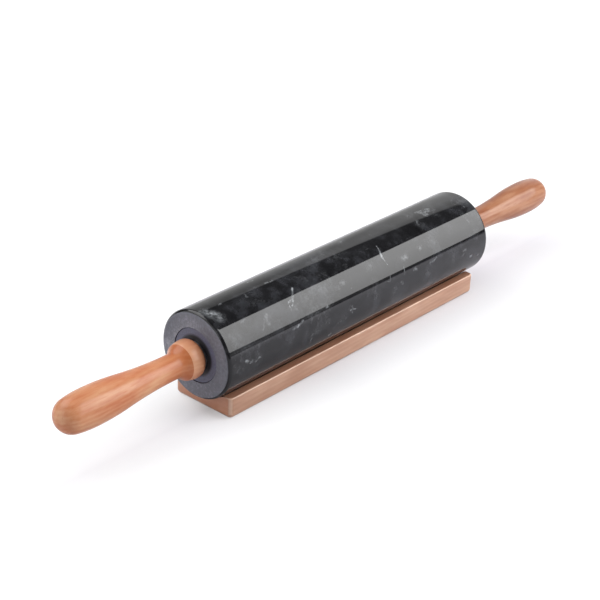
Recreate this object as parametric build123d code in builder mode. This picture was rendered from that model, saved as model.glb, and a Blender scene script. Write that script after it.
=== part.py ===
"""Marble rolling pin lying in its wooden cradle.

A heavy marble barrel turns on a steel axle, in a plastic bushing at each end. The axle joins two turned
wooden handles. The pin lies in a shallow groove along the top of a wooden cradle and lifts straight out.

Millimetres, +Z up. The origin is the middle of the cradle's base. +X runs along the pin, to its right end.
"""

import os
from math import cos, hypot, radians, sin, tan

from build123d import *

os.makedirs("parts", exist_ok=True)

# Gaps between pieces
overrun = 5.0  # how far a cut runs past the solid that it cuts
bonded_gap = 0.05  # radial, between pieces that are pressed, glued or screwed together
running_gap = 0.05  # radial, between the axle and a bushing's bore
resting_gap = 0.3  # between the barrel and the groove's floor
end_play = 0.2  # along the axle, between a thrust washer and its bushing

# Marble barrel
barrel_length = 254.0
barrel_radius = 28.5
barrel_edge_radius = 2.4
barrel_bore_radius = 8.0

# Bushing, let into each end of the barrel
bushing_flange_radius = 17.5
bushing_flange_thickness = 1.6
bushing_set_back = 0.4  # the flange lies this far below the barrel's end face
bushing_sleeve_radius = 11.0
bushing_sleeve_length = 22.0
bushing_edge_chamfer = 0.4

# Axle, with a shoulder and a threaded end at each side
axle_radius = 5.0
thread_radius = 4.0  # M8
thread_length = 27.0
thread_relief_width = 1.5
thread_relief_depth = 0.6
thread_tip_chamfer = 0.8

# Thrust washer
washer_radius = 9.5
washer_thickness = 1.5
washer_bore_gap = 0.15

# Threaded insert, flush with the handle's face
insert_radius = 6.0
insert_length = 13.0
insert_barb_depth = 0.5
insert_barb_count = 4

# Handle, from its face at the barrel to its tip
handle_length = 104.3
bead_radius = 12.4
bead_width = 10.8
bead_face_drop = 2.8  # from the bead's crown down to its face
bead_ridge_drop = 1.0  # from the bead's crown down to the ridge where the hollow starts
bead_crown_share = 0.4  # where the crown lies, as a share of the bead's width
hollow_slope = 40.0  # degrees, of the cone behind the ridge
hollow_radius = 8.0  # of the arc from that cone into the neck
neck_radius = 7.9
belly_radius = 11.85
belly_place_share = 0.78  # where the grip is fullest, as a share of the handle's length
swell_turn_share = 0.62  # where its outline turns from hollow to full, from neck to belly
tip_round_share = 0.92  # radius of the round tip, as a share of the belly's
axle_hole_gap = 0.3  # radial, round the threaded end in the wood
axle_hole_tail = 3.0  # room past the end of the thread

# Cradle
cradle_length = 241.3
cradle_width = 46.8
cradle_height = 14.2
cradle_corner_radius = 3.2  # of the upright corners and the lower edges
cradle_edge_radius = 0.9  # of the upper edges
groove_depth = 5.5
groove_slack = 1.5  # how much larger the groove's radius is than the barrel's
groove_lip_radius = 0.5

# Places that follow from those sizes
axis_height = cradle_height - groove_depth + resting_gap + barrel_radius
handle_offset = end_play + washer_thickness - bushing_set_back  # from the barrel's end to the handle's face
pin_axis = Axis((0, 0, axis_height), (1, 0, 0))
ends = ((-1, "left"), (1, "right"))


def turning_plane(side, offset):
    """Plane of a turned profile: X points out along the pin from offset past the barrel's end, Y points up."""
    return Plane(
        origin=(side * (barrel_length / 2 + offset), 0, axis_height),
        x_dir=(side, 0, 0),
        z_dir=(0, -side, 0),
    )


def facing_plane(side, offset):
    """Plane square to the pin, offset past the barrel's end, facing out."""
    return Plane(origin=(side * (barrel_length / 2 + offset), 0, axis_height), z_dir=(side, 0, 0))


# Cradle: a flat block with a groove along its whole top. One cutter rounds its corners and lower edges alike,
# so it stands on a plain rectangle with square corners, and a smaller one eases its upper edges.
with BuildPart() as cradle:
    with BuildSketch():
        Rectangle(cradle_length, cradle_width)
    extrude(amount=cradle_height)
    corners = cradle.edges().filter_by(Axis.Z)
    lower_edges = cradle.faces().sort_by(Axis.Z)[0].edges()
    fillet(corners + lower_edges, radius=cradle_corner_radius)
    upper_edges = cradle.faces().sort_by(Axis.Z)[-1].edges()
    fillet(upper_edges, radius=cradle_edge_radius)
    groove_radius = barrel_radius + groove_slack
    groove_height = cradle_height - groove_depth + groove_radius
    with BuildSketch(Plane(origin=(-cradle_length / 2 - overrun, 0, groove_height), z_dir=(1, 0, 0))):
        Circle(groove_radius)
    extrude(amount=cradle_length + 2 * overrun, mode=Mode.SUBTRACT)
    lips = cradle.edges().filter_by(Axis.X).group_by(Axis.Z)[-1].sort_by(Axis.Y)[1:3]
    fillet(lips, radius=groove_lip_radius)
cradle.part.label = "cradle"
export_step(cradle.part, "parts/cradle.step")


# Barrel: a polished cylinder with rounded rims, bored through and stepped at each end for its bushing
with BuildPart() as marble_barrel:
    with BuildSketch(facing_plane(1, 0)):
        Circle(barrel_radius)
    extrude(amount=-barrel_length)
    fillet(marble_barrel.edges().filter_by(GeomType.CIRCLE), radius=barrel_edge_radius)
    with BuildSketch(facing_plane(1, 0)):
        Circle(barrel_bore_radius)
    extrude(amount=-barrel_length, mode=Mode.SUBTRACT)
    recess_depth = bushing_set_back + bushing_flange_thickness
    for side, end in ends:
        with BuildSketch(facing_plane(side, 0)):
            Circle(bushing_flange_radius + bonded_gap)
        extrude(amount=-recess_depth, mode=Mode.SUBTRACT)
        with BuildSketch(facing_plane(side, 0)):
            Circle(bushing_sleeve_radius + bonded_gap)
        extrude(amount=-recess_depth - bushing_sleeve_length, mode=Mode.SUBTRACT)
marble_barrel.part.label = "marble_barrel"
export_step(marble_barrel.part, "parts/marble_barrel.step")


# Bushings: a sleeve with a thin flange, bored to run on the axle
for side, end in ends:
    with BuildPart() as bushing:
        with BuildSketch(facing_plane(side, -bushing_set_back)):
            Circle(bushing_flange_radius)
        extrude(amount=-bushing_flange_thickness)
        with BuildSketch(facing_plane(side, -bushing_set_back - bushing_flange_thickness)):
            Circle(bushing_sleeve_radius)
        extrude(amount=-bushing_sleeve_length)
        with BuildSketch(facing_plane(side, -bushing_set_back)):
            Circle(axle_radius + running_gap)
        extrude(amount=-bushing_flange_thickness - bushing_sleeve_length, mode=Mode.SUBTRACT)
        front = bushing.faces().sort_by(Axis((0, 0, 0), (side, 0, 0)))[-1]
        chamfer(front.edges(), length=bushing_edge_chamfer)
    bushing.part.label = f"{end}_bushing"
    export_step(bushing.part, f"parts/{end}_bushing.step")


# Axle: one steel rod, turned down at both ends to a shoulder, a relief groove and a threaded end
with BuildPart() as axle_rod:
    journal_length = barrel_length + 2 * handle_offset
    with BuildSketch(facing_plane(1, handle_offset)):
        Circle(axle_radius)
    extrude(amount=-journal_length)
    for side, end in ends:
        with BuildSketch(facing_plane(side, handle_offset)):
            Circle(thread_radius - thread_relief_depth)
        extrude(amount=thread_relief_width)
        with BuildSketch(facing_plane(side, handle_offset + thread_relief_width)):
            Circle(thread_radius)
        extrude(amount=thread_length - thread_relief_width)
        tip = axle_rod.faces().sort_by(Axis((0, 0, 0), (side, 0, 0)))[-1]
        chamfer(tip.edges(), length=thread_tip_chamfer)
axle_rod.part.label = "axle_rod"
export_step(axle_rod.part, "parts/axle_rod.step")


# Thrust washers: flat steel rings on the axle, between a bushing and a handle
for side, end in ends:
    with BuildPart() as thrust_washer:
        with BuildSketch(facing_plane(side, handle_offset)):
            Circle(washer_radius)
            Circle(axle_radius + washer_bore_gap, mode=Mode.SUBTRACT)
        extrude(amount=-washer_thickness)
    thrust_washer.part.label = f"{end}_thrust_washer"
    export_step(thrust_washer.part, f"parts/{end}_thrust_washer.step")


# Inserts: brass sleeves with barbs, pressed into the handles, which hold the axle's threaded ends
for side, end in ends:
    with BuildPart() as insert:
        barb_length = insert_length / insert_barb_count
        with BuildSketch(turning_plane(side, handle_offset)):
            with BuildLine():
                profile = [(0, thread_radius + bonded_gap)]
                for barb in range(insert_barb_count):
                    profile.append((barb * barb_length, insert_radius))
                    profile.append(((barb + 1) * barb_length, insert_radius - insert_barb_depth))
                profile.append((insert_length, thread_radius + bonded_gap))
                Polyline(*profile, close=True)
            make_face()
        revolve(axis=pin_axis)
    insert.part.label = f"{end}_insert"
    export_step(insert.part, f"parts/{end}_insert.step")


# Handles: a bead with a ridge, a hollow behind it, a slim neck, a full belly and a round tip
bead_face = (0, bead_radius - bead_face_drop)
bead_crown = (bead_crown_share * bead_width, bead_radius)
ridge = (bead_width, bead_radius - bead_ridge_drop)
hollow_drop = hollow_radius * (1 - cos(radians(hollow_slope)))
cone_foot_radius = neck_radius + hollow_drop
cone_foot = (bead_width + (ridge[1] - cone_foot_radius) / tan(radians(hollow_slope)), cone_foot_radius)
neck = (cone_foot[0] + hollow_radius * sin(radians(hollow_slope)), neck_radius)
belly = (belly_place_share * handle_length, belly_radius)
swell_turn = (
    neck[0] + swell_turn_share * (belly[0] - neck[0]),
    neck[1] + swell_turn_share * (belly[1] - neck[1]),
)
tip_radius = tip_round_share * belly_radius
tip_centre = handle_length - tip_radius
# The arc behind the belly starts level and runs smoothly into the round tip
radius_step = belly_radius - tip_radius
shoulder_radius = ((tip_centre - belly[0]) ** 2 + belly_radius**2 - tip_radius**2) / (2 * radius_step)
shoulder_centre = belly_radius - shoulder_radius
reach = tip_radius / hypot(tip_centre - belly[0], shoulder_centre)
tip_end = (handle_length, 0)
tip_start = (tip_centre + reach * (tip_centre - belly[0]), -reach * shoulder_centre)

for side, end in ends:
    with BuildPart() as handle:
        with BuildSketch(turning_plane(side, handle_offset)):
            with BuildLine():
                Line((0, 0), bead_face)
                TangentArc(bead_crown, bead_face, tangent=(-1, 0))
                TangentArc(bead_crown, ridge, tangent=(1, 0))
                Line(ridge, cone_foot)
                TangentArc(cone_foot, neck, tangent=(cos(radians(hollow_slope)), -sin(radians(hollow_slope))))
                hollow = TangentArc(neck, swell_turn, tangent=(1, 0))
                TangentArc(swell_turn, belly, tangent=hollow % 1)
                TangentArc(belly, tip_start, tangent=(1, 0))
                TangentArc(tip_end, tip_start, tangent=(0, 1))
                Line(tip_end, (0, 0))
            make_face()
        revolve(axis=pin_axis)
        with BuildSketch(facing_plane(side, handle_offset)):
            Circle(insert_radius + bonded_gap)
        extrude(amount=insert_length, mode=Mode.SUBTRACT)
        with BuildSketch(facing_plane(side, handle_offset)):
            Circle(thread_radius + axle_hole_gap)
        extrude(amount=thread_length + axle_hole_tail, mode=Mode.SUBTRACT)
    handle.part.label = f"{end}_handle"
    export_step(handle.part, f"parts/{end}_handle.step")
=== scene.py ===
"""Looks of a marble rolling pin in its wooden cradle: finishes, turned pieces, floor, light and camera.

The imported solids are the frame. Everything is in metres. +X runs along the pin, +Z is up, and the origin is
the middle of the cradle's base. The camera stands in front, at the pin's left end.
"""

from math import atan2, cos, degrees, hypot, pi, radians, sin, tan

import bpy
from mathutils import Matrix, Vector


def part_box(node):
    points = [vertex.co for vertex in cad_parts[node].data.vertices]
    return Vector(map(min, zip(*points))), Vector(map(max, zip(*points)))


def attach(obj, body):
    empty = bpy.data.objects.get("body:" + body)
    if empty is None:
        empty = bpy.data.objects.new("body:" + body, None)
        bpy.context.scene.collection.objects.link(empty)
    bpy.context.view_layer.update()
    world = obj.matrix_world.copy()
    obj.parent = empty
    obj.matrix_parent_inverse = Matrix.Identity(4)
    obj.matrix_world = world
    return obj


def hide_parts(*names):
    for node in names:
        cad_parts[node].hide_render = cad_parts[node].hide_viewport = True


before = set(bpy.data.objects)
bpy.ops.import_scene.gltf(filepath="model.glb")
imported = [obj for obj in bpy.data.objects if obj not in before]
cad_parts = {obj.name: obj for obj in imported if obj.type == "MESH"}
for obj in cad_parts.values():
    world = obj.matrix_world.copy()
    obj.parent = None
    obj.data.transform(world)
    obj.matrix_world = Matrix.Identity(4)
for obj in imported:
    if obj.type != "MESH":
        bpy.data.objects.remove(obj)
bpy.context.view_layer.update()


# Cradle
# A flat block of beech, milled with one long groove in which the pin lies by its own weight. Its corners and
# lower edges are rounded and its upper edges eased. It is stained and has a thin satin lacquer.

lower_edge_height = 0.003
groove_half_width = 0.0176
groove_lip_end = 0.018


def hex_colour(code):
    """Turns an sRGB hex colour into the linear one that a shader takes."""
    shares = [int(code[place : place + 2], 16) / 255 for place in (1, 3, 5)]
    return tuple(c / 12.92 if c <= 0.04045 else ((c + 0.055) / 1.055) ** 2.4 for c in shares) + (1.0,)


def feed(node, inputs):
    """Fills a node's inputs: each gets a plain value, a link to a socket, or one to a node's first output."""
    ready = [socket for socket in node.inputs if socket.enabled]
    for name, value in inputs.items():
        socket = ready[name] if isinstance(name, int) else next(s for s in ready if s.name == name)
        if isinstance(value, bpy.types.Node):
            value = next(s for s in value.outputs if s.enabled)
        if isinstance(value, bpy.types.NodeSocket):
            node.id_data.links.new(value, socket)
        else:
            socket.default_value = value
    return node


def add(tree, kind, inputs=None, steps=(), **settings):
    """Adds a node. A colour ramp also gets its steps, each (place from 0 to 1, sRGB hex colour)."""
    node = tree.nodes.new(kind)
    for name, value in settings.items():
        setattr(node, name, value)
    if steps:
        knots = node.color_ramp.elements
        while len(knots) < len(steps):
            knots.new(1.0)
        for knot, (place, code) in zip(knots, steps):
            knot.position = place
            knot.color = hex_colour(code)
    return feed(node, inputs or {})


def new_finish(name, constants):
    """Starts a material. Values that are the same all over sit on the shader's own sockets."""
    finish = bpy.data.materials.new(name)
    finish.use_nodes = True
    tree = finish.node_tree
    return finish, tree, feed(tree.nodes["Principled BSDF"], constants)


def dress(finish, *nodes):
    """Gives CAD nodes a finish."""
    for node in nodes:
        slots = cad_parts[node].data.materials
        slots.clear()
        slots.append(finish)


def per_mm(size):
    """Texture scale that gives a pattern of this size in millimetres, on coordinates in metres."""
    return 1000.0 / size


# A wave texture repeats after this much of its coordinate at scale 1
wave_length = 0.314


def stained_beech(name, tones, pith, rings, streaks, gloss, lacquer, lacquer_roughness, seed):
    """Beech with its grain along X, stained, under a clear lacquer that hardly rounds off the open pores.

    The year rings are cylinders round the pith, a line beside the piece, so they run as long stripes and
    arches on its faces, rings millimetres apart. Fine fibres and the short dark rays of beech lie along the
    grain, and streaks says how plainly the fibres show. The tones go from dark to light.
    """
    dark, middle, light = tones
    finish, tree, shader = new_finish(
        name,
        {
            "Specular IOR Level": gloss,
            "Coat Weight": lacquer,
            "Coat Roughness": lacquer_roughness,
            "Coat IOR": 1.5,
        },
    )
    place = add(tree, "ShaderNodeTexCoord").outputs["Object"]
    board = {"Vector": place, "Location": (seed, 0, 0)}
    along_grain = add(tree, "ShaderNodeMapping", {**board, "Scale": (0.04, 1, 1)})
    # Year rings, wavering by a few millimetres along the grain
    about_pith = add(
        tree, "ShaderNodeMapping", {"Vector": place, "Location": pith, "Rotation": (0, 0.02, 0.035)}
    )
    waver = add(
        tree,
        "ShaderNodeTexNoise",
        {"Vector": along_grain, "Scale": per_mm(14), "Detail": 3.0, "Roughness": 0.55},
    )
    waver = add(tree, "ShaderNodeVectorMath", {0: waver, "Scale": 0.006}, operation="SCALE")
    ring_place = add(tree, "ShaderNodeVectorMath", {0: about_pith, 1: waver}, operation="ADD")
    ring_scale = per_mm(rings) * wave_length
    year_rings = add(
        tree,
        "ShaderNodeTexWave",
        {"Vector": ring_place, "Scale": ring_scale, "Distortion": 0.6, "Detail": 2.0, "Detail Scale": 1.5},
        wave_type="RINGS",
        rings_direction="X",
    )
    # Fibres: streaks of up to 0.9 mm across and 22 mm long
    fibres = add(
        tree,
        "ShaderNodeTexNoise",
        {"Vector": along_grain, "Scale": per_mm(0.9), "Detail": 4.0, "Roughness": 0.6},
    )
    # Patches where the stain took more or less, about 11 mm across and 40 mm long
    patch_place = add(tree, "ShaderNodeMapping", {**board, "Scale": (0.27, 1, 1)})
    patches = add(
        tree,
        "ShaderNodeTexNoise",
        {"Vector": patch_place, "Scale": per_mm(11), "Detail": 4.0, "Roughness": 0.55},
    )
    tone = add(tree, "ShaderNodeMath", {0: year_rings.outputs["Fac"], 1: 0.06}, operation="MULTIPLY")
    for pattern, weight in ((fibres, streaks), (patches, 0.75)):
        tone = add(tree, "ShaderNodeMath", {0: pattern, 1: weight, 2: tone}, operation="MULTIPLY_ADD")
    mean = streaks / 2
    steps = [(0.3 + mean, dark), (0.405 + mean, middle), (0.51 + mean, light)]
    stain = add(tree, "ShaderNodeValToRGB", {"Fac": tone}, steps=steps)
    # Rays: dark dashes, 0.4 mm wide and about 3 mm long, each in a cell of 1.6 mm across
    ray_place = add(tree, "ShaderNodeMapping", {**board, "Scale": (0.13, 1, 1)})
    ray_cells = add(tree, "ShaderNodeTexVoronoi", {"Vector": ray_place, "Scale": per_mm(1.6)})
    rays = add(
        tree,
        "ShaderNodeMapRange",
        {"Value": ray_cells, "From Min": 0.12, "From Max": 0.3, "To Min": 0.34, "To Max": 0.0},
    )
    base = add(tree, "ShaderNodeMix", {"Factor": rays, "A": stain, "B": hex_colour(dark)}, data_type="RGBA")
    pore_depth = 0.00006
    pores = add(tree, "ShaderNodeMath", {0: fibres, 1: rays}, operation="SUBTRACT")
    relief = add(tree, "ShaderNodeBump", {"Strength": 0.25, "Distance": pore_depth, "Height": pores})
    polish = add(tree, "ShaderNodeMapRange", {"Value": fibres, "To Min": 0.34, "To Max": 0.5})
    feed(shader, {"Base Color": base, "Normal": relief, "Roughness": polish})
    return finish


def paint_cradle_light_shade_and_wear(finish):
    """Varies the cradle's tone: a painted highlight on its worn edges, paler and redder end faces, and
    painted shade on the top and in the groove.
    """
    tree = finish.node_tree
    shader = tree.nodes["Principled BSDF"]
    tone = shader.inputs["Base Color"].links[0].from_socket
    polish = shader.inputs["Roughness"].links[0].from_socket
    given = add(tree, "ShaderNodeTexCoord").outputs
    lean = add(tree, "ShaderNodeVectorMath", {0: given["Normal"]}, operation="ABSOLUTE")
    lean = add(tree, "ShaderNodeSeparateXYZ", {"Vector": lean}).outputs
    part = add(tree, "ShaderNodeSeparateXYZ", {"Vector": given["Object"]}).outputs
    from_middle = add(tree, "ShaderNodeMath", {0: part["Y"]}, operation="ABSOLUTE")
    above_base = add(tree, "ShaderNodeMath", {0: part["Z"], 1: lower_edge_height}, operation="GREATER_THAN")
    # The upper edges and upright corners, where the wood faces no way squarely, are painted paler: a painted
    # highlight along the eased edges, where the stain is also worn thin
    squareness = add(tree, "ShaderNodeMath", {0: lean["X"], 1: lean["Y"]}, operation="MAXIMUM")
    squareness = add(tree, "ShaderNodeMath", {0: squareness, 1: lean["Z"]}, operation="MAXIMUM")
    edge_highlight_and_wear = add(
        tree, "ShaderNodeMapRange", {"Value": squareness, "From Min": 0.97, "From Max": 0.84, "To Max": 0.5}
    )
    outside_groove = add(
        tree, "ShaderNodeMath", {0: from_middle, 1: groove_lip_end}, operation="GREATER_THAN"
    )
    for limit in (outside_groove, above_base):
        edge_highlight_and_wear = add(tree, "ShaderNodeMath", {0: edge_highlight_and_wear, 1: limit}, operation="MULTIPLY")
    # The end faces are made paler and redder. The top is painted darker: painted shade, where the barrel
    # above it shades it
    end_grain, painted_top_shade = (
        add(
            tree, "ShaderNodeMapRange", {"Value": lean[way], "From Min": 0.9, "From Max": 0.98, "To Max": 0.5}
        )
        for way in ("X", "Z")
    )
    painted_top_shade = add(tree, "ShaderNodeMath", {0: painted_top_shade, 1: above_base}, operation="MULTIPLY")
    # The groove is painted dark: painted shade, where the barrel lying in it shades it. It is also rough, as
    # the cutter left it
    in_groove = add(tree, "ShaderNodeMath", {0: from_middle, 1: groove_half_width}, operation="LESS_THAN")
    off_ends = add(tree, "ShaderNodeMath", {0: lean["X"], 1: 0.5}, operation="LESS_THAN")
    for limit in (above_base, off_ends, 0.8):
        in_groove = add(tree, "ShaderNodeMath", {0: in_groove, 1: limit}, operation="MULTIPLY")
    # Paler edges are a painted highlight, partly worn stain. The darker top and groove are painted shade
    for share, code in (
        (edge_highlight_and_wear, "#E8C6AB"), (end_grain, "#D08762"), (painted_top_shade, "#8A4D34"), (in_groove, "#4A3228"),
    ):
        tone = add(
            tree, "ShaderNodeMix", {"Factor": share, "A": tone, "B": hex_colour(code)}, data_type="RGBA"
        )
    rough_sawn = add(tree, "ShaderNodeMath", {0: in_groove, 1: 0.5, 2: polish}, operation="MULTIPLY_ADD")
    feed(shader, {"Base Color": tone, "Roughness": rough_sawn})


# Paler and duller than the handles: one thin coat that leaves a soft sheen
cradle_wood = stained_beech(
    "stained_beech_satin", ("#AE8269", "#B98E75", "#C49C83"), pith=(0, 0.021, 0.046), rings=3.4,
    streaks=0.2, gloss=0.6, lacquer=0.55, lacquer_roughness=0.28, seed=0.31,
)
paint_cradle_light_shade_and_wear(cradle_wood)
dress(cradle_wood, "cradle")


# Barrel
# One cylinder of black marble, sawn, bored, ground round and polished on its side and rims. Its ends are only
# honed, so they look pale and dull, and each is stepped in for a bushing.

barrel_low, barrel_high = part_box("marble_barrel")
axis_height = (barrel_low.z + barrel_high.z) / 2
barrel_half = barrel_high.x
barrel_radius = barrel_high.z - axis_height
barrel_edge_radius = 0.0024
barrel_bore_radius = 0.008
# Radius and depth of the steps for a bushing's flange and sleeve
flange_recess = (0.01755, 0.002)
sleeve_recess = (0.01105, 0.024)
# The polish runs over the rim and ends between these two depths below the end face
polish_ends = (0.0003, 0.0001)


def turning_tree():
    """Builds the tree that turns an outline about the pin's axis, as a lathe does.

    The outline is a chain of points in order, each at (place along the axis, 0, radius). A grid takes one
    column of points from each, wraps it round the axis, and closes up where it meets itself.
    """
    tree = bpy.data.node_groups.new("turned_about_the_pin", "GeometryNodeTree")
    for name, kind, value in (
        ("Outline", "NodeSocketGeometry", None),
        ("Axis height", "NodeSocketFloat", axis_height),
        ("Steps around", "NodeSocketInt", 192),
        ("Crease angle", "NodeSocketFloat", radians(11)),
        ("Finish", "NodeSocketMaterial", None),
    ):
        socket = tree.interface.new_socket(name, in_out="INPUT", socket_type=kind)
        if value is not None:
            socket.default_value = value
    tree.interface.new_socket("Turned piece", in_out="OUTPUT", socket_type="NodeSocketGeometry")
    given = add(tree, "NodeGroupInput").outputs
    count = add(tree, "GeometryNodeAttributeDomainSize", {"Geometry": given["Outline"]}, component="MESH")
    column_size = add(tree, "ShaderNodeMath", {0: given["Steps around"], 1: 1.0}, operation="ADD")
    grid = add(tree, "GeometryNodeMeshGrid", {"Vertices X": count, "Vertices Y": column_size})
    index = add(tree, "GeometryNodeInputIndex")
    column = add(tree, "ShaderNodeMath", {0: index, 1: column_size}, operation="DIVIDE")
    column = add(tree, "ShaderNodeMath", {0: column}, operation="FLOOR")
    step = add(tree, "ShaderNodeMath", {0: index, 1: column_size}, operation="MODULO")
    outline_point = add(
        tree,
        "GeometryNodeSampleIndex",
        {"Geometry": given["Outline"], "Value": add(tree, "GeometryNodeInputPosition"), "Index": column},
        data_type="FLOAT_VECTOR",
        domain="POINT",
    )
    part = add(tree, "ShaderNodeSeparateXYZ", {"Vector": outline_point}).outputs
    turn = add(tree, "ShaderNodeMath", {0: step, 1: given["Steps around"]}, operation="DIVIDE")
    turn = add(tree, "ShaderNodeMath", {0: turn, 1: 2 * pi}, operation="MULTIPLY")
    cosine = add(tree, "ShaderNodeMath", {0: turn}, operation="COSINE")
    sine = add(tree, "ShaderNodeMath", {0: turn}, operation="SINE")
    across = add(tree, "ShaderNodeMath", {0: part["Z"], 1: sine}, operation="MULTIPLY")
    up = add(
        tree, "ShaderNodeMath", {0: part["Z"], 1: cosine, 2: given["Axis height"]}, operation="MULTIPLY_ADD"
    )
    wrapped = add(tree, "ShaderNodeCombineXYZ", {"X": part["X"], "Y": across, "Z": up})
    shape = add(tree, "GeometryNodeSetPosition", {"Geometry": grid, "Position": wrapped})
    shape = add(tree, "GeometryNodeMergeByDistance", {"Geometry": shape, "Distance": 1e-6})
    crease = add(
        tree,
        "FunctionNodeCompare",
        {"A": add(tree, "GeometryNodeInputMeshEdgeAngle"), "B": given["Crease angle"]},
        data_type="FLOAT",
        operation="GREATER_THAN",
    )
    shape = add(tree, "GeometryNodeSetShadeSmooth", {"Geometry": shape, "Shade Smooth": True}, domain="FACE")
    shape = add(
        tree,
        "GeometryNodeSetShadeSmooth",
        {"Geometry": shape, "Selection": crease, "Shade Smooth": False},
        domain="EDGE",
    )
    shape = add(tree, "GeometryNodeRealizeInstances", {"Geometry": shape})
    shape = add(tree, "GeometryNodeSetMaterial", {"Geometry": shape, "Material": given["Finish"]})
    add(tree, "NodeGroupOutput", {"Turned piece": shape})
    return tree


turning = turning_tree()


def turned_piece(name, outline, finish, steps_around=192):
    """Turns an outline of (place along the axis, radius) into a plain mesh object."""
    chain = bpy.data.meshes.new(name)
    chain.from_pydata([(x, 0, r) for x, r in outline], [(i, i + 1) for i in range(len(outline) - 1)], [])
    piece = bpy.data.objects.new(name, chain)
    bpy.context.scene.collection.objects.link(piece)
    lathe = piece.modifiers.new("lathe", "NODES")
    lathe.node_group = turning
    sizes = {"Axis height": axis_height, "Steps around": steps_around, "Finish": finish}
    for socket in turning.interface.items_tree:
        if socket.name in sizes:
            lathe[socket.identifier] = sizes[socket.name]
    made = piece.evaluated_get(bpy.context.evaluated_depsgraph_get())
    turned = bpy.data.meshes.new_from_object(made)
    piece.modifiers.remove(lathe)
    piece.data = turned
    piece.data.name = name
    return piece


def straight(start, end, steps):
    """Points along a straight run of an outline, without its start."""
    return [
        (start[0] + (end[0] - start[0]) * i / steps, start[1] + (end[1] - start[1]) * i / steps)
        for i in range(1, steps + 1)
    ]


def arc(centre, radius, start, end, steps):
    """Points along an arc of an outline, angles in degrees from the pin's axis."""
    angles = [radians(start + (end - start) * i / steps) for i in range(steps + 1)]
    return [(centre[0] + radius * cos(a), centre[1] + radius * sin(a)) for a in angles]


# Half of the outline, from the middle of the bore out to the rim and back to the middle of the side. A
# support point just past each end of the rim's rounding keeps the flat faces beside it flat in the light
support = 0.0002
rim_place = barrel_half - barrel_edge_radius
rim_height = barrel_radius - barrel_edge_radius
barrel_right = [
    (0.0, barrel_bore_radius),
    (barrel_half - sleeve_recess[1], barrel_bore_radius),
    (barrel_half - sleeve_recess[1], sleeve_recess[0]),
    (barrel_half - flange_recess[1], sleeve_recess[0]),
    (barrel_half - flange_recess[1], flange_recess[0]),
    (barrel_half, flange_recess[0]),
    *straight((barrel_half, flange_recess[0]), (barrel_half, rim_height - support), 4),
    *arc((rim_place, rim_height), barrel_edge_radius, 0, 90, 12),
    (rim_place - support, barrel_radius),
    *straight((rim_place - support, barrel_radius), (0.0, barrel_radius), 10)[:-1],
]
barrel_outline = barrel_right + [(0.0, barrel_radius)] + [(-x, r) for x, r in reversed(barrel_right)]

# Veins that show on the side, given one by one: millimetres along the pin and degrees round it from straight
# up towards the front, at the start and at the end, then half the width in millimetres, and how pale it is
vein_strokes = (
    (-122, 6, -118, 22, 3.0, 0.4), (-121, 10, -119, 15, 2.0, 0.75),
    (-58, 29, -62, 39, 0.5, 0.9), (-62, 39, -66, 49, 0.6, 0.7), (-62, 39, -68, 44, 0.5, 0.6),
    (-68, 44, -68, 50, 0.4, 0.5), (-88, 45, -89, 55, 1.3, 0.25), (-91, 48, -95, 61, 0.35, 0.35),
    (-62, 71, -67, 75, 0.6, 0.6), (-67, 75, -72, 76, 0.5, 0.5), (-113, 86, -112, 87, 1.1, 0.55),
    (-109, 90, -108, 90, 0.8, 0.4), (-102, 89, -105, 93, 0.6, 0.35), (-40, 69, -39, 69, 0.8, 0.6),
    (-36, 112, -35, 111, 0.9, 0.5), (-75, -15, -72, -13, 0.9, 0.35), (-70, 4, -68, 5, 0.7, 0.4),
    (-110, 5, -108, 5, 0.6, 0.5), (-66, 6, -64, 6, 0.5, 0.3),
    (24, 26, 23, 35, 0.45, 0.9), (23, 35, 22, 44, 0.6, 0.8), (22, 44, 23, 54, 0.4, 0.4),
    (22, 70, 21, 77, 0.35, 0.5), (21, 77, 19, 75, 0.3, 0.4),
    (79, 1, 91, 5, 0.9, 0.4), (82, 4, 83, 13, 1.6, 0.5), (84, 6, 88, 9, 1.4, 0.5),
    (-20, 87, -14, 89, 0.5, 0.5), (-17, 84, -17, 92, 0.5, 0.5),
    (-21, 50, -19, 50, 1.4, 0.25), (-27, 53, -25, 54, 1.3, 0.2), (8, 44, 9, 46, 1.0, 0.2),
    (38, 56, 42, 55, 1.4, 0.3), (56, 53, 58, 53, 1.2, 0.25),
    (70, 75, 63, 78, 0.7, 0.35), (37, 65, 36, 75, 0.45, 0.3), (108, 98, 110, 100, 0.9, 0.5),
    (100, 84, 102, 84, 1.0, 0.3), (117, 27, 117, 28, 0.6, 0.6), (6, -10, 9, -9, 1.6, 0.2),
    (46, 76, 48, 77, 1.2, 0.3),
)
# The veins' edges stray by up to half of this many millimetres. That thins them, so they are drawn wider
vein_straying = 2.6
vein_widening = 1.9


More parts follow.
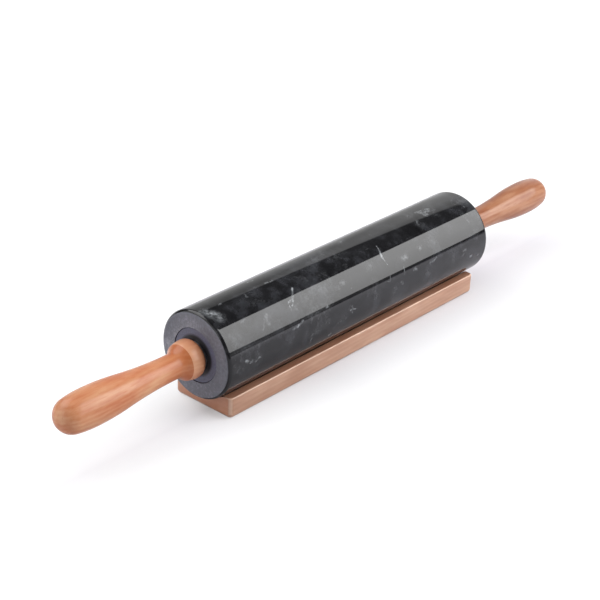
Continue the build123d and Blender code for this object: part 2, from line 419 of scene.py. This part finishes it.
def vein_stroke_group():
    """One short vein: how much of the pale stone shows at a place, most on its line and none at its edge."""
    tree = bpy.data.node_groups.new("vein_stroke", "ShaderNodeTree")
    kinds = {"Place": "Vector", "Start": "Vector", "End": "Vector", "Width": "Float", "Paleness": "Float"}
    for name, kind in kinds.items():
        tree.interface.new_socket(name, in_out="INPUT", socket_type=f"NodeSocket{kind}")
    tree.interface.new_socket("Amount", in_out="OUTPUT", socket_type="NodeSocketFloat")
    given = add(tree, "NodeGroupInput").outputs
    run = add(tree, "ShaderNodeVectorMath", {0: given["End"], 1: given["Start"]}, operation="SUBTRACT")
    away = add(tree, "ShaderNodeVectorMath", {0: given["Place"], 1: given["Start"]}, operation="SUBTRACT")
    forward = add(tree, "ShaderNodeVectorMath", {0: away, 1: run}, operation="DOT_PRODUCT").outputs["Value"]
    whole = add(tree, "ShaderNodeVectorMath", {0: run, 1: run}, operation="DOT_PRODUCT").outputs["Value"]
    share = add(tree, "ShaderNodeMath", {0: forward, 1: whole}, operation="DIVIDE", use_clamp=True)
    nearest = add(tree, "ShaderNodeVectorMath", {0: run, "Scale": share}, operation="SCALE")
    gap = add(tree, "ShaderNodeVectorMath", {0: away, 1: nearest}, operation="DISTANCE").outputs["Value"]
    amount = add(
        tree,
        "ShaderNodeMapRange",
        {"Value": gap, "From Max": given["Width"], "To Min": given["Paleness"], "To Max": 0.0},
        interpolation_type="SMOOTHSTEP",
    )
    add(tree, "NodeGroupOutput", {"Amount": amount})
    return tree


def polished_black_marble():
    """Black marble: nearly black with soft grey clouds, cut by thin calcite veins and specks.

    Polished, it mirrors the room sharply. Where it is only honed, on the flat ends, fine scratches scatter
    the light, so it looks grey and dull and its grains show.
    """
    finish, tree, shader = new_finish("black_marble_polished", {"IOR": 1.5})
    place = add(tree, "ShaderNodeTexCoord").outputs["Object"]
    part = add(tree, "ShaderNodeSeparateXYZ", {"Vector": place}).outputs
    # Clouds about 38 mm across, and blotches of about 9 mm
    clouds = add(
        tree,
        "ShaderNodeTexNoise",
        {"Vector": place, "Scale": per_mm(38), "Detail": 5.0, "Roughness": 0.6, "Distortion": 0.7},
    )
    blotches = add(
        tree, "ShaderNodeTexNoise", {"Vector": place, "Scale": per_mm(9), "Detail": 5.0, "Roughness": 0.65}
    )
    mottle = add(tree, "ShaderNodeMath", {0: blotches, 1: 0.6, 2: clouds}, operation="MULTIPLY_ADD")
    steps = [(0.56, "#0E0E10"), (0.78, "#1A1A1C"), (1.0, "#35363A")]
    stone = add(tree, "ShaderNodeValToRGB", {"Fac": mottle}, steps=steps)
    # Hairline veins: the shaken edges of cells of 44 mm, broken up so that only short runs show
    shake = add(tree, "ShaderNodeTexNoise", {"Vector": place, "Scale": per_mm(16), "Detail": 4.0})
    shake = add(tree, "ShaderNodeVectorMath", {0: shake.outputs["Color"], "Scale": 0.02}, operation="SCALE")
    shaken = add(tree, "ShaderNodeVectorMath", {0: place, 1: shake}, operation="ADD")
    cells = add(
        tree, "ShaderNodeTexVoronoi", {"Vector": shaken, "Scale": per_mm(44)}, feature="DISTANCE_TO_EDGE"
    )
    hairline = add(
        tree, "ShaderNodeMapRange", {"Value": cells, "From Max": 0.03, "To Min": 0.3, "To Max": 0.0}
    )
    broken = add(tree, "ShaderNodeTexNoise", {"Vector": place, "Scale": per_mm(13), "Detail": 2.0})
    broken = add(tree, "ShaderNodeMapRange", {"Value": broken, "From Min": 0.6, "From Max": 0.72})
    hairline = add(tree, "ShaderNodeMath", {0: hairline, 1: broken}, operation="MULTIPLY")
    # Specks of calcite, up to 1.5 mm, in about one cell in fifteen, and soft smudges of it
    speck_cells = add(tree, "ShaderNodeTexVoronoi", {"Vector": shaken, "Scale": per_mm(8)})
    speck = add(
        tree,
        "ShaderNodeMapRange",
        {"Value": speck_cells, "From Min": 0.02, "From Max": 0.12, "To Min": 0.25, "To Max": 0.0},
    )
    chosen = add(tree, "ShaderNodeSeparateColor", {"Color": speck_cells.outputs["Color"]})
    chosen = add(tree, "ShaderNodeMath", {0: chosen, 1: 0.93}, operation="GREATER_THAN")
    speck = add(tree, "ShaderNodeMath", {0: speck, 1: chosen}, operation="MULTIPLY")
    smudge = add(
        tree, "ShaderNodeTexNoise", {"Vector": shaken, "Scale": per_mm(22), "Detail": 4.0, "Roughness": 0.6}
    )
    smudge = add(
        tree, "ShaderNodeMapRange", {"Value": smudge, "From Min": 0.54, "From Max": 0.8, "To Max": 0.2}
    )
    pale = hairline
    for calcite in (speck, smudge):
        pale = add(tree, "ShaderNodeMath", {0: pale, 1: calcite}, operation="MAXIMUM")
    # The veins that show: their place is unrolled to millimetres along the pin and round it
    height = add(tree, "ShaderNodeMath", {0: part["Z"], 1: axis_height}, operation="SUBTRACT")
    front = add(tree, "ShaderNodeMath", {0: part["Y"], 1: -1.0}, operation="MULTIPLY")
    turn = add(tree, "ShaderNodeMath", {0: front, 1: height}, operation="ARCTAN2")
    along_mm = add(tree, "ShaderNodeMath", {0: part["X"], 1: 1000.0}, operation="MULTIPLY")
    around_mm = add(tree, "ShaderNodeMath", {0: turn, 1: barrel_radius * 1000}, operation="MULTIPLY")
    unrolled = add(tree, "ShaderNodeCombineXYZ", {"X": along_mm, "Y": around_mm})
    ragged = add(tree, "ShaderNodeTexNoise", {"Vector": place, "Scale": per_mm(3.5), "Detail": 3.0})
    ragged = add(
        tree, "ShaderNodeVectorMath", {0: ragged.outputs["Color"], 1: (0.5, 0.5, 0.5)}, operation="SUBTRACT"
    )
    ragged = add(tree, "ShaderNodeVectorMath", {0: ragged, "Scale": vein_straying}, operation="SCALE")
    unrolled = add(tree, "ShaderNodeVectorMath", {0: unrolled, 1: ragged}, operation="ADD")
    stroke_group = vein_stroke_group()
    degree_mm = radians(1) * barrel_radius * 1000
    for start_x, start_turn, end_x, end_turn, width, paleness in vein_strokes:
        stroke = add(
            tree,
            "ShaderNodeGroup",
            {
                "Place": unrolled,
                "Start": (start_x, start_turn * degree_mm, 0),
                "End": (end_x, end_turn * degree_mm, 0),
                "Width": width * vein_widening,
                "Paleness": paleness,
            },
            node_tree=stroke_group,
        )
        pale = add(tree, "ShaderNodeMath", {0: pale, 1: stroke}, operation="MAXIMUM")
    # The calcite sits in crumbs of up to 2.4 mm, so every vein and speck looks broken
    crumbs = add(
        tree, "ShaderNodeTexNoise", {"Vector": place, "Scale": per_mm(2.4), "Detail": 5.0, "Roughness": 0.7}
    )
    crumbs = add(
        tree, "ShaderNodeMapRange", {"Value": crumbs, "From Min": 0.4, "From Max": 0.62, "To Min": 0.12}
    )
    pale = add(tree, "ShaderNodeMath", {0: pale, 1: crumbs}, operation="MULTIPLY")
    side = add(
        tree, "ShaderNodeMix", {"Factor": pale, "A": stone, "B": hex_colour("#B4B8BC")}, data_type="RGBA"
    )
    # The honed ends: grains of up to 1.6 mm over the clouds
    grains = add(
        tree, "ShaderNodeTexNoise", {"Vector": place, "Scale": per_mm(1.6), "Detail": 4.0, "Roughness": 0.7}
    )
    end_tone = add(tree, "ShaderNodeMath", {0: grains, 1: 0.45}, operation="MULTIPLY")
    end_tone = add(tree, "ShaderNodeMath", {0: clouds, 1: 0.6, 2: end_tone}, operation="MULTIPLY_ADD")
    steps = [(0.35, "#575962"), (0.53, "#6F717A"), (0.7, "#999BA5")]
    end_stone = add(tree, "ShaderNodeValToRGB", {"Fac": end_tone}, steps=steps)
    from_middle = add(tree, "ShaderNodeMath", {0: part["X"]}, operation="ABSOLUTE")
    start, end = (barrel_half - depth for depth in polish_ends)
    honed = add(tree, "ShaderNodeMapRange", {"Value": from_middle, "From Min": start, "From Max": end})
    colour = add(tree, "ShaderNodeMix", {"Factor": honed, "A": side, "B": end_stone}, data_type="RGBA")
    roughness = add(tree, "ShaderNodeMapRange", {"Value": honed, "To Min": 0.035, "To Max": 0.5})
    feed(shader, {"Base Color": colour, "Roughness": roughness})
    return finish


barrel = turned_piece("polished_barrel", barrel_outline, polished_black_marble(), steps_around=256)
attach(barrel, "barrel_body")
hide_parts("marble_barrel")


# Bushings
# A flanged sleeve of dark moulded nylon pressed into each end of the barrel. Its flange shows as a bluish
# ring round the handle.

# Painted shade round the hub: full within the first radius, gone beyond the second
painted_shade_full_radius = 0.0124
painted_shade_end_radius = 0.0140


def moulded_nylon():
    """Nylon moulded against a spark-eroded tool: dull and finely pebbled.

    Real pebbles of about 0.3 mm would not show, so they are drawn at 0.8 mm.
    """
    finish, tree, shader = new_finish("moulded_nylon_slate", {"IOR": 1.53})
    place = add(tree, "ShaderNodeTexCoord").outputs["Object"]
    pebble = add(tree, "ShaderNodeTexNoise", {"Vector": place, "Scale": per_mm(0.8), "Detail": 3.0})
    colour = add(tree, "ShaderNodeValToRGB", {"Fac": pebble}, steps=[(0.3, "#565769"), (0.7, "#66687C")])
    # Round the hub, where the handle hides it from light, the nylon is painted dark: painted shade
    part = add(tree, "ShaderNodeSeparateXYZ", {"Vector": place}).outputs
    height = add(tree, "ShaderNodeMath", {0: part["Z"], 1: axis_height}, operation="SUBTRACT")
    flat = add(tree, "ShaderNodeCombineXYZ", {"X": part["Y"], "Y": height})
    from_axis = add(tree, "ShaderNodeVectorMath", {0: flat}, operation="LENGTH").outputs["Value"]
    unshaded = add(
        tree, "ShaderNodeMapRange", {"Value": from_axis, "From Min": painted_shade_full_radius, "From Max": painted_shade_end_radius}
    )
    colour = add(
        tree, "ShaderNodeMix", {"Factor": unshaded, "A": hex_colour("#1C1C21"), "B": colour}, data_type="RGBA"
    )
    pebble_depth = 0.00005
    relief = add(tree, "ShaderNodeBump", {"Strength": 0.4, "Distance": pebble_depth, "Height": pebble})
    roughness = add(tree, "ShaderNodeMapRange", {"Value": pebble, "To Min": 0.42, "To Max": 0.58})
    feed(shader, {"Base Color": colour, "Normal": relief, "Roughness": roughness})
    return finish


dress(moulded_nylon(), "left_bushing", "right_bushing")


# Axle and thrust washers
# A turned steel rod through the bushings, and a stamped steel ring at each end between bushing and handle.
# The rod screws into the inserts in the handles, which clamp the rings against its shoulders.


def turned_steel():
    """Bright turned steel: fine rings round the axis. They are 0.25 mm apart, coarser than real, to show."""
    finish, tree, shader = new_finish("turned_steel_bright", {"Metallic": 1.0})
    place = add(tree, "ShaderNodeTexCoord").outputs["Object"]
    tool_marks = add(
        tree,
        "ShaderNodeTexWave",
        {"Vector": place, "Scale": per_mm(0.25) * wave_length, "Distortion": 1.5, "Detail": 2.0},
        wave_type="BANDS",
        bands_direction="X",
    )
    smudges = add(tree, "ShaderNodeTexNoise", {"Vector": place, "Scale": per_mm(6), "Detail": 3.0})
    colour = add(tree, "ShaderNodeValToRGB", {"Fac": smudges}, steps=[(0.35, "#A9ABAE"), (0.65, "#C4C6C8")])
    mark_depth = 0.00002
    relief = add(
        tree,
        "ShaderNodeBump",
        {"Strength": 0.15, "Distance": mark_depth, "Height": tool_marks.outputs["Fac"]},
    )
    roughness = add(tree, "ShaderNodeMapRange", {"Value": smudges, "To Min": 0.24, "To Max": 0.4})
    feed(shader, {"Base Color": colour, "Normal": relief, "Roughness": roughness})
    return finish


dress(turned_steel(), "axle_rod", "left_thrust_washer", "right_thrust_washer")


# Inserts
# A barbed brass sleeve pressed into each handle's end, which holds the axle's thread. It is turned from bar,
# and nothing of it shows once the pin is put together.


def turned_brass():
    """Brass, turned from bar and slightly dulled by handling, so its tone and shine vary every 2.5 mm."""
    finish, tree, shader = new_finish("turned_brass_dull", {"Metallic": 1.0})
    place = add(tree, "ShaderNodeTexCoord").outputs["Object"]
    tarnish = add(tree, "ShaderNodeTexNoise", {"Vector": place, "Scale": per_mm(2.5), "Detail": 3.0})
    colour = add(tree, "ShaderNodeValToRGB", {"Fac": tarnish}, steps=[(0.35, "#B08A45"), (0.65, "#CFAE63")])
    roughness = add(tree, "ShaderNodeMapRange", {"Value": tarnish, "To Min": 0.28, "To Max": 0.45})
    feed(shader, {"Base Color": colour, "Roughness": roughness})
    return finish


dress(turned_brass(), "left_insert", "right_insert")


# Handles
# Each is turned from one piece of beech with its grain along the pin: a bead with a crisp ridge, a hollow
# behind it, a slim neck, a full belly and a round tip. Stained darker than the cradle and lacquered glossy.

handle_low, handle_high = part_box("right_handle")
handle_start = handle_low.x
handle_length = handle_high.x - handle_start
bead_radius = 0.0124
bead_width = 0.0108
bead_face_drop = 0.0028
bead_ridge_drop = 0.001
bead_crown_share = 0.4
hollow_slope = radians(40)
hollow_radius = 0.008
neck_radius = 0.0079
belly_radius = 0.01185
belly_place = 0.78 * handle_length
swell_turn_share = 0.62
tip_radius = 0.92 * belly_radius
# Radius and depth of the holes for the insert and for the axle's end
insert_hole = (0.00605, 0.013)
thread_hole = (0.0043, 0.030)


def tangent_arc(start, end, direction, steps):
    """Points of the arc that leaves start along a direction and reaches end, without its start."""
    across = (-direction[1], direction[0])
    chord = (end[0] - start[0], end[1] - start[1])
    lift = chord[0] * across[0] + chord[1] * across[1]
    bend = (chord[0] ** 2 + chord[1] ** 2) / (2 * lift)
    centre = (start[0] + bend * across[0], start[1] + bend * across[1])
    first = atan2(start[1] - centre[1], start[0] - centre[0])
    last = atan2(end[1] - centre[1], end[0] - centre[0])
    sweep = (last - first + pi) % (2 * pi) - pi
    angles = [first + sweep * i / steps for i in range(1, steps + 1)]
    return [(centre[0] + abs(bend) * cos(a), centre[1] + abs(bend) * sin(a)) for a in angles]


bead_face = (0.0, bead_radius - bead_face_drop)
bead_crown = (bead_crown_share * bead_width, bead_radius)
ridge = (bead_width, bead_radius - bead_ridge_drop)
cone_foot_radius = neck_radius + hollow_radius * (1 - cos(hollow_slope))
cone_foot = (bead_width + (ridge[1] - cone_foot_radius) / tan(hollow_slope), cone_foot_radius)
neck = (cone_foot[0] + hollow_radius * sin(hollow_slope), neck_radius)
belly = (belly_place, belly_radius)
swell_turn = (
    neck[0] + swell_turn_share * (belly[0] - neck[0]),
    neck[1] + swell_turn_share * (belly[1] - neck[1]),
)
swell_slope = 2 * atan2(swell_turn[1] - neck[1], swell_turn[0] - neck[0])
tip_centre = handle_length - tip_radius
tip_run = tip_centre - belly[0]
shoulder_radius = (tip_run**2 + belly_radius**2 - tip_radius**2) / (2 * (belly_radius - tip_radius))
shoulder_centre = belly_radius - shoulder_radius
reach = tip_radius / hypot(tip_run, shoulder_centre)
tip_start = (tip_centre + reach * tip_run, -reach * shoulder_centre)
tip_angle = degrees(atan2(tip_start[1], tip_start[0] - tip_centre))
handle_outline = [
    (thread_hole[1], 0.0),
    (thread_hole[1], thread_hole[0]),
    (insert_hole[1], thread_hole[0]),
    (insert_hole[1], insert_hole[0]),
    (0.0, insert_hole[0]),
    bead_face,
    *reversed(tangent_arc(bead_crown, bead_face, (-1, 0), 14)[:-1]),
    bead_crown,
    *tangent_arc(bead_crown, ridge, (1, 0), 10),
    *straight(ridge, cone_foot, 4),
    *tangent_arc(cone_foot, neck, (cos(hollow_slope), -sin(hollow_slope)), 8),
    *tangent_arc(neck, swell_turn, (1, 0), 24),
    *tangent_arc(swell_turn, belly, (cos(swell_slope), sin(swell_slope)), 16),
    *tangent_arc(belly, tip_start, (1, 0), 8),
    *arc((tip_centre, 0), tip_radius, tip_angle, 0, 20)[1:-1],
    (handle_length, 0.0),
]
# How far behind the bead's face the painted highlight starts to grow towards the ridge, and how far the
# painted shade in the hollow behind the ridge reaches along the neck
crown_highlight_start = 0.004
hollow_shade_end = neck[0] + 0.014


def paint_bead_light_and_shade(finish, hollow_shade_tone):
    """Paints a highlight on the bead's crown and ridge, and painted shade in the hollow behind them and along
    the neck's start.
    """
    tree = finish.node_tree
    shader = tree.nodes["Principled BSDF"]
    tone = shader.inputs["Base Color"].links[0].from_socket
    place = add(tree, "ShaderNodeTexCoord").outputs["Object"]
    along = add(tree, "ShaderNodeSeparateXYZ", {"Vector": place}).outputs["X"]
    along = add(tree, "ShaderNodeMath", {0: along}, operation="ABSOLUTE")
    along = add(tree, "ShaderNodeMath", {0: along, 1: handle_start}, operation="SUBTRACT")
    # First painted shade in the hollow and along the neck's start, then a painted highlight on the crown and
    # ridge
    for code, start, end, share_at_start, share_at_end, side_of_ridge in (
        (hollow_shade_tone, neck[0], hollow_shade_end, 0.45, 0.0, "GREATER_THAN"),
        ("#E2AC88", crown_highlight_start, bead_width, 0.2, 0.62, "LESS_THAN"),
    ):
        span = {"From Min": start, "From Max": end, "To Min": share_at_start, "To Max": share_at_end}
        share = add(tree, "ShaderNodeMapRange", {"Value": along, **span})
        here = add(tree, "ShaderNodeMath", {0: along, 1: bead_width}, operation=side_of_ridge)
        share = add(tree, "ShaderNodeMath", {0: share, 1: here}, operation="MULTIPLY")
        tone = add(
            tree, "ShaderNodeMix", {"Factor": share, "A": tone, "B": hex_colour(code)}, data_type="RGBA"
        )
    feed(shader, {"Base Color": tone})


# Each handle has its own pith and grain. The right one's tones are darker: painted shade, for the weaker
# light at the pin's far end
for side, end, pith, seed, tones, hollow_shade_tone in (
    (-1, "left", (0, 0.016, -0.006), 0.12, ("#BE734D", "#C98862", "#D29C76"), "#B66333"),
    (1, "right", (0, -0.009, -0.052), 0.77, ("#8F563A", "#9D684A", "#AC7B5E"), "#8A5036"),
):
    wood = stained_beech(
        f"stained_beech_gloss_{end}", tones, pith=pith, rings=3.0, streaks=0.12, gloss=0.2, lacquer=0.42,
        lacquer_roughness=0.1, seed=seed,
    )
    paint_bead_light_and_shade(wood, hollow_shade_tone)
    outline = [(side * (handle_start + x), r) for x, r in handle_outline]
    if side < 0:
        outline.reverse()
    handle = turned_piece(f"{end}_turned_handle", outline, wood)
    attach(handle, "handle_set")
    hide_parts(f"{end}_handle")


# Studio
# A white floor under a softbox to the front right, a lamp overhead, a white card at the left and a pale wall
# behind, as the polished barrel mirrors them.

square = ((-1, -1), (1, -1), (1, 1), (-1, 1))


def light_panel(name, centre, right, up, size, low, high, mirrored=True):
    """A flat panel that shines from its front only, from low at its lower edge to high above the middle."""
    width, height = size
    corners = [centre + right * (width / 2 * i) + up * (height / 2 * j) for i, j in square]
    sheet = bpy.data.meshes.new(name)
    sheet.from_pydata(corners, [], [(0, 1, 2, 3)])
    sheet.uv_layers.new(name="panel")
    for loop, uv in zip(sheet.uv_layers[0].data, ((0, 0), (1, 0), (1, 1), (0, 1))):
        loop.uv = uv
    glow = bpy.data.materials.new(name)
    glow.use_nodes = True
    tree = glow.node_tree
    tree.nodes.clear()
    spot = add(tree, "ShaderNodeUVMap", uv_map="panel")
    spot = add(tree, "ShaderNodeSeparateXYZ", {"Vector": spot}).outputs
    strength = add(
        tree, "ShaderNodeMapRange", {"Value": spot["Y"], "From Max": 0.6, "To Min": low, "To Max": high}
    )
    front = add(tree, "ShaderNodeEmission", {"Strength": strength})
    back = add(tree, "ShaderNodeNewGeometry").outputs["Backfacing"]
    dark = add(tree, "ShaderNodeEmission", {"Strength": 0.0})
    either = add(tree, "ShaderNodeMixShader", {0: back, 1: front, 2: dark})
    add(tree, "ShaderNodeOutputMaterial", {"Surface": either})
    panel = bpy.data.objects.new(name, sheet)
    bpy.context.scene.collection.objects.link(panel)
    sheet.materials.append(glow)
    panel.visible_camera = False
    panel.visible_shadow = False
    panel.visible_glossy = mirrored


def facing_pin(name, azimuth, elevation, distance, size, low, high, roll=0, shift=(0, 0), mirrored=True):
    """A panel that faces the pin from some direction in degrees, then rolled and shifted in its own plane."""
    a, e, r = radians(azimuth), radians(elevation), radians(roll)
    out = Vector((cos(a) * cos(e), sin(a) * cos(e), sin(e)))
    level = out.cross(Vector((0, 0, 1))).normalized()
    upward = level.cross(out)
    right, up = level * cos(r) + upward * sin(r), upward * cos(r) - level * sin(r)
    centre = out * distance + right * shift[0] + up * shift[1]
    light_panel(name, centre, right, up, size, low, high, mirrored)


# The softbox runs off to the right past the pin's end
facing_pin(
    "softbox", -81.3, 41.7, distance=1.0, size=(1.32, 1.03), low=3.3, high=4.5, roll=13, shift=(-0.61, 0.02)
)
# The lamp overhead gives soft light only, and no piece mirrors it
light_panel(
    "overhead_lamp", Vector((0.0, 0.1, 1.5)), Vector((1, 0, 0)), Vector((0, -1, 0)), size=(2.0, 1.6),
    low=1.0, high=1.0, mirrored=False,
)
facing_pin("back_left_lamp", 115, 50, distance=1.2, size=(1.2, 0.8), low=2.8, high=2.8)
facing_pin("left_card", 155, 22, distance=1.5, size=(2.3, 1.2), low=1.2, high=1.2)
# A weak fill from low in front, which no piece mirrors
facing_pin("front_fill", -70, 14, distance=1.3, size=(0.7, 0.4), low=2.2, high=2.2, mirrored=False)

floor_reach = 3
floor_height = -5e-5
# The strip under the pin that the camera sees as it is: its middle, half its length, and how fast it ends
# at its sides
strip_middle = (0.058, -0.005)
strip_half_length = 0.092
strip_side_slope = 13.0


def matt_white_floor():
    """Matt white paint. The camera sees it as plain white but for a strip under the pin, so that shadows
    stay faint and short. Behind the pin it glows a little, as the lit sweep does that the barrel mirrors.
    """
    finish, tree, shader = new_finish(
        "matt_white_floor", {"Base Color": hex_colour("#D9D8DE"), "Roughness": 1.0, "Specular IOR Level": 0.0}
    )
    plain_white = add(tree, "ShaderNodeEmission", {"Strength": 1.15})
    no_light = add(tree, "ShaderNodeEmission", {"Strength": 0.0})
    ray = add(tree, "ShaderNodeLightPath").outputs
    spot = add(tree, "ShaderNodeTexCoord").outputs["Object"]
    part = add(tree, "ShaderNodeSeparateXYZ", {"Vector": spot}).outputs
    # The camera's share of plain white grows past the strip's ends and sides, and far off it is full
    from_strip = [
        add(
            tree,
            "ShaderNodeMath",
            {0: add(tree, "ShaderNodeMath", {0: part[way], 1: middle}, operation="SUBTRACT")},
            operation="ABSOLUTE",
        )
        for way, middle in zip(("X", "Y"), strip_middle)
    ]
    past_ends = add(
        tree,
        "ShaderNodeMapRange",
        {
            "Value": from_strip[0],
            "From Min": strip_half_length,
            "From Max": 0.3,
            "To Min": -0.025,
            "To Max": 0.54,
        },
    )
    to_camera = add(
        tree,
        "ShaderNodeMath",
        {0: from_strip[1], 1: strip_side_slope, 2: past_ends},
        operation="MULTIPLY_ADD",
        use_clamp=True,
    )
    apart = add(tree, "ShaderNodeVectorMath", {0: spot}, operation="LENGTH").outputs["Value"]
    far_off = add(tree, "ShaderNodeMapRange", {"Value": apart, "From Min": 0.35, "From Max": 0.9})
    to_camera = add(tree, "ShaderNodeMath", {0: to_camera, 1: far_off}, operation="MAXIMUM")
    behind = add(
        tree, "ShaderNodeMapRange", {"Value": part["Y"], "From Min": 0.08, "From Max": 0.45, "To Max": 0.5}
    )
    share = add(
        tree,
        "ShaderNodeMix",
        {"Factor": ray["Is Camera Ray"], "A": behind, "B": to_camera},
        data_type="FLOAT",
    )
    paint = add(tree, "ShaderNodeMixShader", {0: share, 1: shader, 2: plain_white})
    # In front the barrel mirrors the floor darker, most of all beside the cradle and far off to the right
    beside, by_near_end, far_right = (
        add(
            tree,
            "ShaderNodeMapRange",
            {"Value": part[way], "From Min": start, "From Max": end, "To Min": at_start, "To Max": at_end},
        )
        for way, start, end, at_start, at_end in (
            ("Y", -0.07, -0.03, 0.2, 0.5), ("X", -0.05, 0.2, 1.0, 0.2), ("X", 0.45, 0.8, 0.0, 0.75),
        )
    )
    dimmed = add(tree, "ShaderNodeMath", {0: beside, 1: by_near_end}, operation="MULTIPLY")
    dimmed = add(tree, "ShaderNodeMath", {0: dimmed, 1: far_right}, operation="MAXIMUM")
    in_front = add(tree, "ShaderNodeMath", {0: part["Y"], 1: 0.0}, operation="LESS_THAN")
    for limit in (in_front, ray["Is Glossy Ray"]):
        dimmed = add(tree, "ShaderNodeMath", {0: dimmed, 1: limit}, operation="MULTIPLY")
    paint = add(tree, "ShaderNodeMixShader", {0: dimmed, 1: paint, 2: no_light})
    feed(tree.nodes["Material Output"], {"Surface": paint})
    return finish


floor_corners = [(floor_reach * i, floor_reach * j, floor_height) for i, j in square]
floor_sheet = bpy.data.meshes.new("floor")
floor_sheet.from_pydata(floor_corners, [], [(0, 1, 2, 3)])
floor = bpy.data.objects.new("floor", floor_sheet)
bpy.context.scene.collection.objects.link(floor)
floor_sheet.materials.append(matt_white_floor())

# The wall's level top edge: its height as a share of the wall's distance to the right, and how soft it is
wall_edge_rise = 0.855
wall_edge_softness = 0.008


def studio_room():
    """A wall at the right, paler towards the front. The rest is dark, and the camera sees white."""
    room = bpy.data.worlds.new("studio_room")
    room.use_nodes = True
    tree = room.node_tree
    tree.nodes.clear()
    way = add(tree, "ShaderNodeTexCoord").outputs["Generated"]
    way = add(tree, "ShaderNodeSeparateXYZ", {"Vector": way}).outputs
    sideways = add(tree, "ShaderNodeMath", {0: way["Y"], 1: way["X"]}, operation="DIVIDE")
    wall = add(
        tree,
        "ShaderNodeMapRange",
        {"Value": sideways, "From Min": 0.62, "From Max": 0.92, "To Min": 0.9, "To Max": 0.38},
    )
    wall_foot = add(
        tree, "ShaderNodeMapRange", {"Value": way["Z"], "From Max": 0.6, "To Min": 2.0, "To Max": 1.0}
    )
    wall = add(tree, "ShaderNodeMath", {0: wall, 1: wall_foot}, operation="MULTIPLY")
    below_edge = add(tree, "ShaderNodeMath", {0: way["X"], 1: wall_edge_rise}, operation="MULTIPLY")
    below_edge = add(tree, "ShaderNodeMath", {0: below_edge, 1: way["Z"]}, operation="SUBTRACT")
    below_edge = add(
        tree,
        "ShaderNodeMapRange",
        {"Value": below_edge, "From Min": -wall_edge_softness, "From Max": wall_edge_softness},
    )
    back_side = add(tree, "ShaderNodeMix", {"Factor": below_edge, "A": 0.07, "B": wall}, data_type="FLOAT")
    # The dark front is paler straight ahead than to the right
    ahead = add(
        tree,
        "ShaderNodeMapRange",
        {"Value": sideways, "From Min": -0.85, "From Max": -1.25, "To Min": 0.04, "To Max": 0.6},
    )
    dark_side = add(
        tree, "ShaderNodeMapRange", {"Value": way["Z"], "From Max": 0.15, "To Min": ahead, "To Max": 0.05}
    )
    facing_back = add(tree, "ShaderNodeMapRange", {"Value": way["Y"], "From Min": -0.1, "From Max": 0.15})
    glow = add(
        tree, "ShaderNodeMix", {"Factor": facing_back, "A": dark_side, "B": back_side}, data_type="FLOAT"
    )
    room_light, backdrop = (
        add(tree, "ShaderNodeBackground", {"Strength": strength, "Color": (1, 1, 1, 1)})
        for strength in (glow, 1.0)
    )
    seen_by_camera = add(tree, "ShaderNodeLightPath").outputs["Is Camera Ray"]
    either = add(tree, "ShaderNodeMixShader", {0: seen_by_camera, 1: room_light, 2: backdrop})
    add(tree, "ShaderNodeOutputWorld", {"Surface": either})
    return room


bpy.context.scene.world = studio_room()

# Camera: in front and to the left, looking down at the middle of the pin, a little tilted
camera_azimuth, camera_elevation, camera_roll = radians(-49.0), radians(27.19), radians(2.07)
camera_target, camera_distance = Vector((-0.0346, 0.0, 0.0410)), 0.9731
lens = bpy.data.cameras.new("camera")
lens.lens = 92.88
lens.sensor_width = 36.0
lens.clip_start = 0.01
camera = bpy.data.objects.new("camera", lens)
camera_turn = (
    Matrix.Rotation(camera_azimuth, 4, "Z")
    @ Matrix.Rotation(pi / 2 - camera_elevation, 4, "X")
    @ Matrix.Rotation(camera_roll, 4, "Z")
)
back_from_target = camera_turn @ Vector((0, 0, camera_distance))
camera.matrix_world = Matrix.Translation(camera_target + back_from_target) @ camera_turn
bpy.context.scene.collection.objects.link(camera)
bpy.context.scene.camera = camera
bpy.context.scene.view_settings.view_transform = "Standard"
